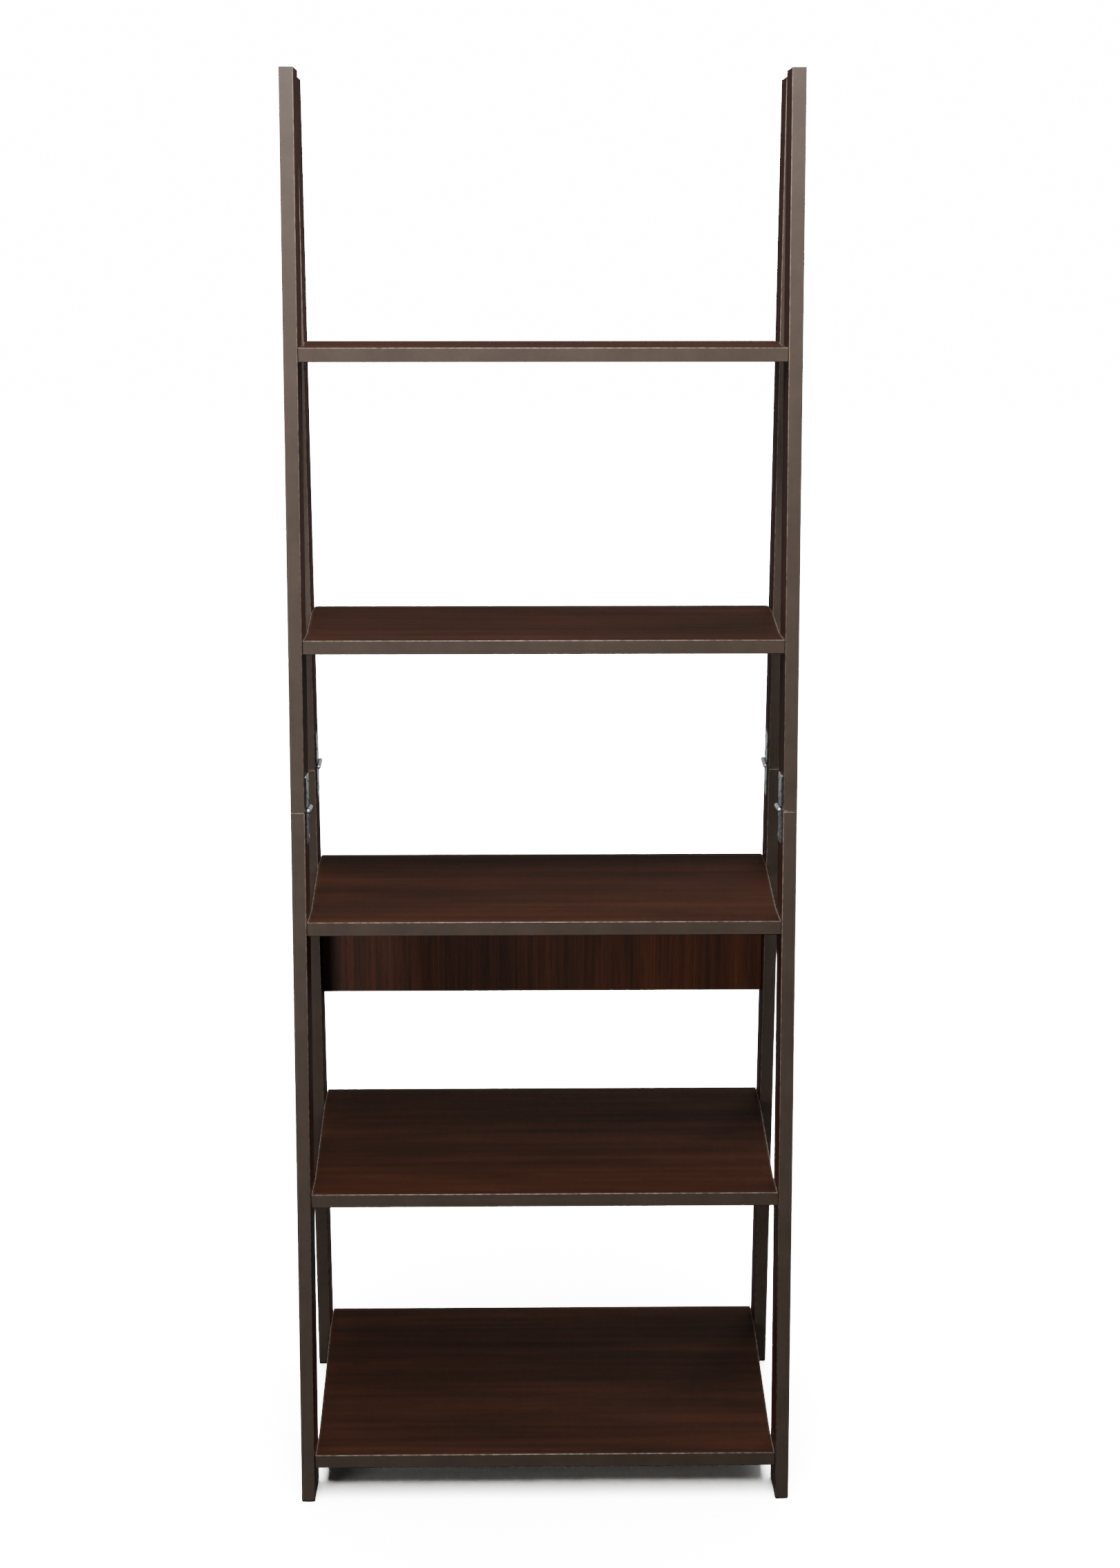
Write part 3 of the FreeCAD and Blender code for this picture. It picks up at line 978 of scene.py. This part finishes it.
@dataclass
class Hinge:
    """Butt hinge across a split: two stamped leaves rolled round a peened pin."""

    rail: RailLine
    finishes: Finishes
    width: float = 34.0 * MM
    length: float = 44.0 * MM
    thickness: float = 1.5 * MM
    corner: float = 3.0 * MM
    barrel: float = 3.3 * MM
    pin: float = 1.6 * MM
    pin_head: float = 2.4 * MM
    pin_head_length: float = 0.8 * MM
    knuckles: int = 5
    clearance: float = 0.1 * MM
    swing: float = 0.4 * MM
    screw_rows: tuple[float, ...] = (12.0 * MM, 24.0 * MM, 36.0 * MM)
    screw_sides: tuple[int, ...] = (1, -1, 1)
    screw_offset: float = 9.0 * MM
    screw_turns: tuple[float, ...] = (12.0, 47.0, 78.0, 25.0, 63.0, 5.0)
    screw_hole: float = 3.55 * MM
    screw_hole_back: float = 1.9 * MM
    screw_radius: float = 3.4 * MM
    screw_rise: float = 0.9 * MM
    screw_sink: float = 1.4 * MM
    screw_shank: float = 1.7 * MM
    recess: tuple[float, float, float] = (3.4 * MM, 0.8 * MM, 0.7 * MM)
    roll: float = 292.0
    roll_steps: int = 22
    hole_steps: int = 28
    hole_slack: float = 0.2 * MM
    rim: float = 0.22 * MM
    rim_segments: int = 2
    rim_angle: float = 30.0
    corner_step: int = 15
    crisp: float = 40.0
    crisp_head: float = 32.0
    head_steps: int = 28
    pin_steps: int = 24
    head_dome: tuple[tuple[float, float], ...] = ((0.35, 0.93), (0.68, 0.72), (0.9, 0.42), (1.0, 0.0))
    pin_dome: tuple[tuple[float, float], ...] = (
        (0.0, 0.55), (0.35, 1.0), (0.7, 0.86), (0.92, 0.5), (1.0, 0.0)
    )

    def screw_places(self) -> list[tuple[float, float]]:
        """Place of each screw of one leaf, across the rail and away from the split."""
        return [(side * self.screw_offset, row) for side, row in zip(self.screw_sides, self.screw_rows)]

    def knuckle(self, index: int) -> tuple[float, float]:
        """Start and end of one knuckle along the pin."""
        step = self.width / self.knuckles
        return -self.width / 2 + index * step, -self.width / 2 + (index + 1) * step

    def leaf(self, half: Half) -> BMesh:
        """Build one leaf in the split's own frame.

        Args:
            half: The half of the rail that it is screwed to.

        Returns:
            Its mesh, with the board's face at X = 0 and the pin along Y.
        """
        bm = bmesh.new()
        own = range(1, self.knuckles, 2) if half is Half.UPPER else range(0, self.knuckles, 2)
        notch = self.barrel + self.swing
        ring = self.plate_outline(bm, notch)
        holes = self.plate_holes(bm)
        made = bmesh.ops.triangle_fill(bm, use_beauty=True, use_dissolve=True, edges=ring + holes)
        plate = [item for item in made["geom"] if isinstance(item, BMFace)]
        faces = thicken(bm, plate, Vector((self.thickness, 0.0, 0.0)))
        self.sink_holes(faces)
        rims = [edge for edge in edges_of(faces) if self.is_front_rim(edge)]
        round_over(bm, rims, self.rim, self.rim_segments)
        for index in own:
            self.roll_knuckle(bm, *self.knuckle(index), notch)
        if half is Half.LOWER:
            bmesh.ops.scale(bm, vec=(1.0, 1.0, -1.0), verts=bm.verts)
        return bm

    def plate_outline(self, bm: BMesh, notch: float) -> list[BMEdge]:
        """Outline the plate above the knuckles, with rounded free corners.

        Args:
            bm: Mesh that gets the outline.
            notch: Height at which the plate starts.

        Returns:
            Its edges, as a ring.
        """
        half = self.width / 2
        x = -self.thickness
        points = [(-half, notch), (half, notch)]
        for side, first in ((1, 0), (-1, 90)):
            centre_y, centre_z = side * (half - self.corner), self.length - self.corner
            for degrees in range(first, first + 91, self.corner_step):
                turn = math.radians(degrees)
                y = centre_y + self.corner * math.cos(turn)
                points.append((y, centre_z + self.corner * math.sin(turn)))
        verts = [bm.verts.new((x, y, z)) for y, z in points]
        return [bm.edges.new(pair) for pair in zip(verts, verts[1:] + verts[:1])]

    def plate_holes(self, bm: BMesh) -> list[BMEdge]:
        """Draw the rings of the countersunk screw holes, staggered along the plate.

        Args:
            bm: Mesh that gets the rings.

        Returns:
            Their edges.
        """
        rings = []
        turn = Matrix.Rotation(math.pi / 2, 4, "Y")
        for across, row in self.screw_places():
            place = Matrix.Translation((-self.thickness, across, row)) @ turn
            made = bmesh.ops.create_circle(
                bm, cap_ends=False, segments=self.hole_steps, radius=self.screw_hole, matrix=place
            )
            rings += list({edge for vert in made["verts"] for edge in vert.link_edges})
        return rings

    def sink_holes(self, faces: Sequence[BMFace]) -> None:
        """Narrow each hole towards the board, which makes its countersink.

        Args:
            faces: Faces of the plate.
        """
        verts = {vert for face in faces for vert in face.verts if abs(vert.co.x) < FLAT_TOLERANCE}
        for across, row in self.screw_places():
            centre = Vector((0.0, across, row))
            near = [vert for vert in verts if (vert.co - centre).length < self.screw_hole + self.hole_slack]
            for vert in near:
                vert.co = centre + (vert.co - centre).normalized() * self.screw_hole_back

    def is_front_rim(self, edge: BMEdge) -> bool:
        """Find the sharp edges of the plate's showing face, but not where it meets the knuckles.

        Args:
            edge: Edge of the plate.

        Returns:
            Whether it is one of them.
        """
        showing = all(abs(vert.co.x + self.thickness) < FLAT_TOLERANCE for vert in edge.verts)
        at_knuckles = all(vert.co.z < self.barrel + self.swing + FLAT_TOLERANCE for vert in edge.verts)
        return showing and not at_knuckles and edge.calc_face_angle(0.0) > math.radians(self.rim_angle)

    def roll_knuckle(self, bm: BMesh, start: float, end: float, notch: float) -> None:
        """Roll one tongue of the plate round the pin.

        Args:
            bm: Mesh that gets the knuckle.
            start: Where the knuckle starts along the pin.
            end: Where it ends.
            notch: Height at which the tongue leaves the plate.
        """
        y = start + self.clearance
        back, front = 0.0, -self.thickness
        corners = ((back, notch), (back, 0.0), (front, 0.0), (front, notch))
        tongue = bm.faces.new([bm.verts.new((x, y, z)) for x, z in corners])
        lip = [edge for edge in tongue.edges if all(abs(v.co.z) < FLAT_TOLERANCE for v in edge.verts)]
        bmesh.ops.spin(
            bm,
            geom=lip + list(lip[0].verts),
            cent=(-self.barrel, 0.0, 0.0),
            axis=(0.0, 1.0, 0.0),
            angle=math.radians(self.roll),
            steps=self.roll_steps,
        )
        grown = {tongue}
        while more := {f for edge in edges_of(grown) for f in edge.link_faces} - grown:
            grown |= more
        bmesh.ops.recalc_face_normals(bm, faces=list(grown))
        solid = thicken(bm, list(grown), Vector((0.0, end - start - 2 * self.clearance, 0.0)))
        for face in solid:
            face.smooth = abs(face.normal.y) < 0.5
        for edge in edges_of(solid):
            edge.smooth = edge.calc_face_angle(0.0) < math.radians(self.crisp)

    def screw_head(self) -> Mesh:
        """Make one raised countersunk head with its cross recess.

        Returns:
            Its mesh, with the leaf's face at X = 0 and the dome towards -X.
        """
        bm = bmesh.new()
        rise = self.screw_rise
        profile = [(-self.screw_sink, 0.0), (-self.screw_sink, self.screw_shank), (0.0, self.screw_radius)]
        profile += [(share * rise, radius * self.screw_radius) for share, radius in self.head_dome]
        lathe(bm, profile, Vector((0.0, 0.0, 0.0)), Vector((-1.0, 0.0, 0.0)), self.head_steps)
        close_up(bm)
        head = add_object("screw_head", bm)
        long, wide, deep = self.recess
        for size in ((2 * deep, long, wide), (2 * deep, wide, long)):
            self.cut(head, size)
        mesh = bpy.data.meshes.new_from_object(head.evaluated_get(bpy.context.evaluated_depsgraph_get()))
        for other in [modifier.object for modifier in head.modifiers] + [head]:
            bpy.data.objects.remove(other)
        return mesh

    def cut(self, head: Object, size: tuple[float, float, float]) -> None:
        """Cut one arm of the cross recess.

        Args:
            head: The screw head.
            size: Size of the arm's box, which is centred on the top of the dome.
        """
        box = bmesh.new()
        bmesh.ops.create_cube(box, size=1.0)
        bmesh.ops.scale(box, vec=size, verts=box.verts)
        bmesh.ops.translate(box, vec=(-self.screw_rise, 0.0, 0.0), verts=box.verts)
        modifier = head.modifiers.new("arm", "BOOLEAN")
        modifier.operation = "DIFFERENCE"
        modifier.solver = "EXACT"
        modifier.object = add_object("recess_arm", box)

    def build_screws(self) -> None:
        """Make the six raised screws of the hinge and stand them in."""
        place = self.rail.placement()
        head = self.screw_head()
        bm = bmesh.new()
        rows = [(across, half.value * row) for half in Half for across, row in self.screw_places()]
        for (across, row), degrees in zip(rows, self.screw_turns):
            spot = Matrix.Translation((-self.thickness, across, row))
            turned = head.copy()
            turned.transform(place @ spot @ Matrix.Rotation(math.radians(degrees), 4, "X"))
            bm.from_mesh(turned)
            bpy.data.meshes.remove(turned)
        bpy.data.meshes.remove(head)
        close_up(bm)
        shade_by_angle(bm, self.crisp_head)
        node = self.rail.name("hinge_screws")
        make_piece(f"{node}_raised", bm, (self.finishes.screw,), (node,))

    def build(self) -> None:
        """Make both leaves, the screws and the pin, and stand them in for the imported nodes."""
        place = self.rail.placement()
        for half in Half:
            bm = self.leaf(half)
            bmesh.ops.transform(bm, matrix=place, verts=bm.verts)
            bmesh.ops.recalc_face_normals(bm, faces=bm.faces)
            node = self.rail.name(f"hinge_{half.word}_leaf")
            make_piece(f"{node}_rolled", bm, (self.finishes.zinc,), (node,))
        self.build_pin()
        self.build_screws()

    def build_pin(self) -> None:
        """Make the pin with a domed, peened head at each end."""
        end = self.width / 2
        right = [
            (end + share * self.pin_head_length, radius * self.pin_head) for share, radius in self.pin_dome
        ]
        left = [(-along, radius) for along, radius in reversed(right)]
        profile = left + [(-end, self.pin), (end, self.pin)] + right
        bm = bmesh.new()
        lathe(bm, profile, Vector((-self.barrel, 0.0, 0.0)), Vector((0.0, 1.0, 0.0)), self.pin_steps)
        bmesh.ops.transform(bm, matrix=self.rail.placement(), verts=bm.verts)
        close_up(bm)
        shade_by_angle(bm, self.crisp)
        node = self.rail.name("hinge_pin")
        make_piece(f"{node}_peened", bm, (self.finishes.wire,), (node,))


# ---------------------------------------------------------------- the whole shelf


@dataclass
class LadderShelf:
    """The whole ladder shelf: four rails, five shelves, a brace and four hinges."""

    finishes: Finishes
    rails: dict[tuple[RailKind, Side], RailLine] = field(init=False)

    def __post_init__(self) -> None:
        """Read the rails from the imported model."""
        self.rails = {(kind, side): RailLine(kind, side) for kind in RailKind for side in Side}

    def dress_boards(self) -> None:
        """Give every packed board, foot, screw and dowel its finish."""
        for (kind, _), rail in self.rails.items():
            is_front = kind is RailKind.FRONT
            board = self.finishes.front_rail_board if is_front else self.finishes.rear_rail_board
            for half in Half:
                dress(rail.name(f"{half.word}_rail"), board)
            dress(rail.name("foot_cap"), self.finishes.foot)
        for number in SHELF_NUMBERS:
            dress(f"shelf_{number}_board", self.finishes.shelf_board)
        # The brace takes the lighter, redder copy of the walnut: painted light for the shade it sits in.
        dress("back_brace", self.finishes.brace_board)
        for node in ("shelf_screws", "brace_screws"):
            dress(node, self.finishes.screw)
        dress("screw_caps", self.finishes.cap)
        dress("shelf_dowels", self.finishes.dowel)

    def build(self) -> None:
        """Build and dress every sub-assembly in order."""
        self.dress_boards()
        for rail in self.rails.values():
            for half in Half:
                RailBanding(rail, half, self.finishes).build()
            Hinge(rail, self.finishes).build()
        right = (self.rails[RailKind.FRONT, Side.RIGHT], self.rails[RailKind.REAR, Side.RIGHT])
        for number in SHELF_NUMBERS:
            ShelfBanding(number, *right, self.finishes).build()
        BraceBanding(right[1], self.finishes).build()


# ---------------------------------------------------------------- studio


@dataclass(frozen=True)
class Softbox:
    """A rectangular light: where it hangs, the point that it faces, its size and its watts."""

    name: str
    place: tuple[float, float, float]
    aim: tuple[float, float, float]
    size: tuple[float, float]
    power: float
    glossy: bool = True

    def hang(self, receivers: Sequence[Object] = ()) -> None:
        """Add the light.

        Args:
            receivers: The only pieces that it lights, or none for all.
        """
        data = bpy.data.lights.new(self.name, "AREA")
        data.shape = "RECTANGLE"
        data.size, data.size_y = self.size
        data.energy = self.power
        light = bpy.data.objects.new(self.name, data)
        light.location = self.place
        light.rotation_euler = (Vector(self.aim) - Vector(self.place)).to_track_quat("-Z", "Y").to_euler()
        light.visible_glossy = self.glossy
        if receivers:
            light.light_linking.receiver_collection = group(f"{self.name}_receivers", receivers)
        bpy.context.scene.collection.objects.link(light)


@dataclass
class Studio:
    """Pale floor and backdrop, soft lights and the camera."""

    floor_size: float = 60.0
    backdrop_radius: float = 25.0
    backdrop_segments: tuple[int, int] = (48, 24)
    backdrop_glow: float = 16.0
    ambient: float = 0.06
    floor_light_spread: float = 30.0
    floor_lights: tuple[tuple[float, float], ...] = (
        (-34.0, 8.0), (-12.0, 24.0), (12.0, 30.0), (37.0, 16.0)
    )
    softboxes: tuple[Softbox, ...] = (
        Softbox("top_softbox", (-0.1, -1.4, 2.6), (-0.05, -0.15, 1.6), (0.9, 0.6), 42.0),
        Softbox("low_softbox", (-1.7, -2.6, 0.7), (0.0, 0.0, 0.6), (1.1, 0.9), 18.0),
        Softbox("overhead_softbox", (0.0, -0.6, 3.6), (0.0, 0.0, 0.4), (1.6, 1.4), 28.0),
        Softbox("back_softbox", (0.8, 2.6, 1.9), (0.0, 0.0, 0.9), (1.8, 1.6), 60.0, glossy=False),
    )
    fitting_card: Softbox = Softbox("fitting_card", (0.0, 2.6, 1.5), (0.0, 0.0, 1.0), (3.4, 2.4), 20.0)
    head_card: Softbox = Softbox("head_card", (0.0, -2.4, 1.6), (0.0, 0.0, 0.9), (1.6, 0.8), 60.0)
    brace_card: Softbox = Softbox("brace_card", (-1.7, -2.6, 0.7), (0.0, 0.0, 0.6), (1.1, 0.9), 30.0)
    rear_card: Softbox = Softbox("rear_card", (0.4, -2.8, 1.7), (0.0, 0.0, 1.0), (0.9, 0.9), 15.0)
    side_cards: tuple[Softbox, ...] = (
        Softbox("left_card", (-2.8, 0.5, 2.0), (0.0, 0.0, 1.4), (1.2, 1.2), 24.0),
        Softbox("right_card", (2.8, 0.5, 2.0), (0.0, 0.0, 1.4), (1.2, 1.2), 24.0),
    )
    camera_place: tuple[float, float, float] = (-0.0276, -3.3465, 1.5751)
    camera_down: float = 0.200
    camera_right: float = 0.015
    lens: float = 59.45

    def stand(self, name: str, bm: BMesh, material: Look) -> Object:
        """Add a piece of the studio, which sends no light back to the shelf.

        Args:
            name: Name of the piece.
            bm: Its mesh, which is freed.
            material: Its material.

        Returns:
            The new object.
        """
        piece = add_object(name, bm, (material,))
        piece.visible_diffuse = False
        piece.visible_glossy = False
        piece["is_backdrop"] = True
        return piece

    def floor(self) -> None:
        """Add the plain pale floor, lit by its own strip of light that runs from front to back."""
        bm = bmesh.new()
        bmesh.ops.create_grid(bm, x_segments=1, y_segments=1, size=self.floor_size / 2)
        finish = SatinFinish("matt_white_floor", "#f4f4f3", "#f7f7f6", 300.0, 4.0, (0.8, 0.9), 0.02)
        piece = self.stand("floor", bm, finish.make())
        receivers = group("floor_light_receivers", (piece,))
        for number, (tilt, energy) in enumerate(self.floor_lights, start=1):
            data = bpy.data.lights.new(f"floor_light_{number}", "SUN")
            data.energy = energy
            data.angle = math.radians(self.floor_light_spread)
            light = bpy.data.objects.new(f"floor_light_{number}", data)
            light.rotation_euler = (math.radians(tilt), 0.0, 0.0)
            light.light_linking.receiver_collection = receivers
            bpy.context.scene.collection.objects.link(light)

    def backdrop(self) -> None:
        """Add the white backdrop all round."""
        bm = bmesh.new()
        around, up = self.backdrop_segments
        bmesh.ops.create_uvsphere(bm, u_segments=around, v_segments=up, radius=self.backdrop_radius)
        material, tree = new_material("white_backdrop")
        glow = add_node(tree, "ShaderNodeEmission", {"Color": WHITE, "Strength": self.backdrop_glow})
        add_node(tree, "ShaderNodeOutputMaterial", {"Surface": glow.outputs["Emission"]})
        piece = self.stand("backdrop", bm, material)
        piece.visible_shadow = False

    def surroundings(self) -> None:
        """Set the faint pale light that comes from all round."""
        world = bpy.data.worlds.new("studio")
        world.use_nodes = True
        tree = world.node_tree
        tree.nodes.clear()
        light = add_node(tree, "ShaderNodeBackground", {"Color": WHITE, "Strength": self.ambient})
        add_node(tree, "ShaderNodeOutputWorld", {"Surface": light.outputs["Background"]})
        bpy.context.scene.world = world

    def rim_lights(self) -> None:
        """Light the fittings and the rails' inner faces from behind, where the shelves stay dark."""
        shown = [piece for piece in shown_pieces() if not piece.hide_render]
        fittings = [piece for piece in shown if "hinge" in piece.name]
        self.fitting_card.hang(fittings)
        self.head_card.hang([piece for piece in fittings if piece.name.endswith(("_raised", "_peened"))])
        self.brace_card.hang([piece for piece in shown if piece.name.startswith("back_brace")])
        rear = [piece for piece in shown if piece.name.startswith("rear")]
        self.rear_card.hang([piece for piece in rear if piece.name.endswith("_strips")])
        rails = [piece for piece in shown if self.is_rail(piece.name)]
        for card in self.side_cards:
            card.hang(rails)

    def is_rail(self, name: str) -> bool:
        """True for the boards of the rails and the banding on them."""
        return name.endswith("_rail") or (name.endswith("_strips") and not name.startswith("shelf"))

    def camera(self) -> None:
        """Add the camera, level and looking slightly down."""
        data = bpy.data.cameras.new("camera")
        data.lens = self.lens
        camera = bpy.data.objects.new("camera", data)
        camera.location = self.camera_place
        camera.rotation_euler = (math.pi / 2 - self.camera_down, 0.0, -self.camera_right)
        bpy.context.scene.collection.objects.link(camera)
        bpy.context.scene.camera = camera

    def build(self) -> None:
        """Build the studio."""
        self.camera()
        self.surroundings()
        self.backdrop()
        self.floor()
        for box in self.softboxes:
            box.hang()


def main() -> None:
    """Build the studio and the shelf, and report each piece."""
    logging.basicConfig(level=logging.INFO, format="%(name)s: %(message)s")
    studio = Studio()
    studio.build()
    LadderShelf(Finishes()).build()
    studio.rim_lights()


if __name__ == "__main__":
    main()
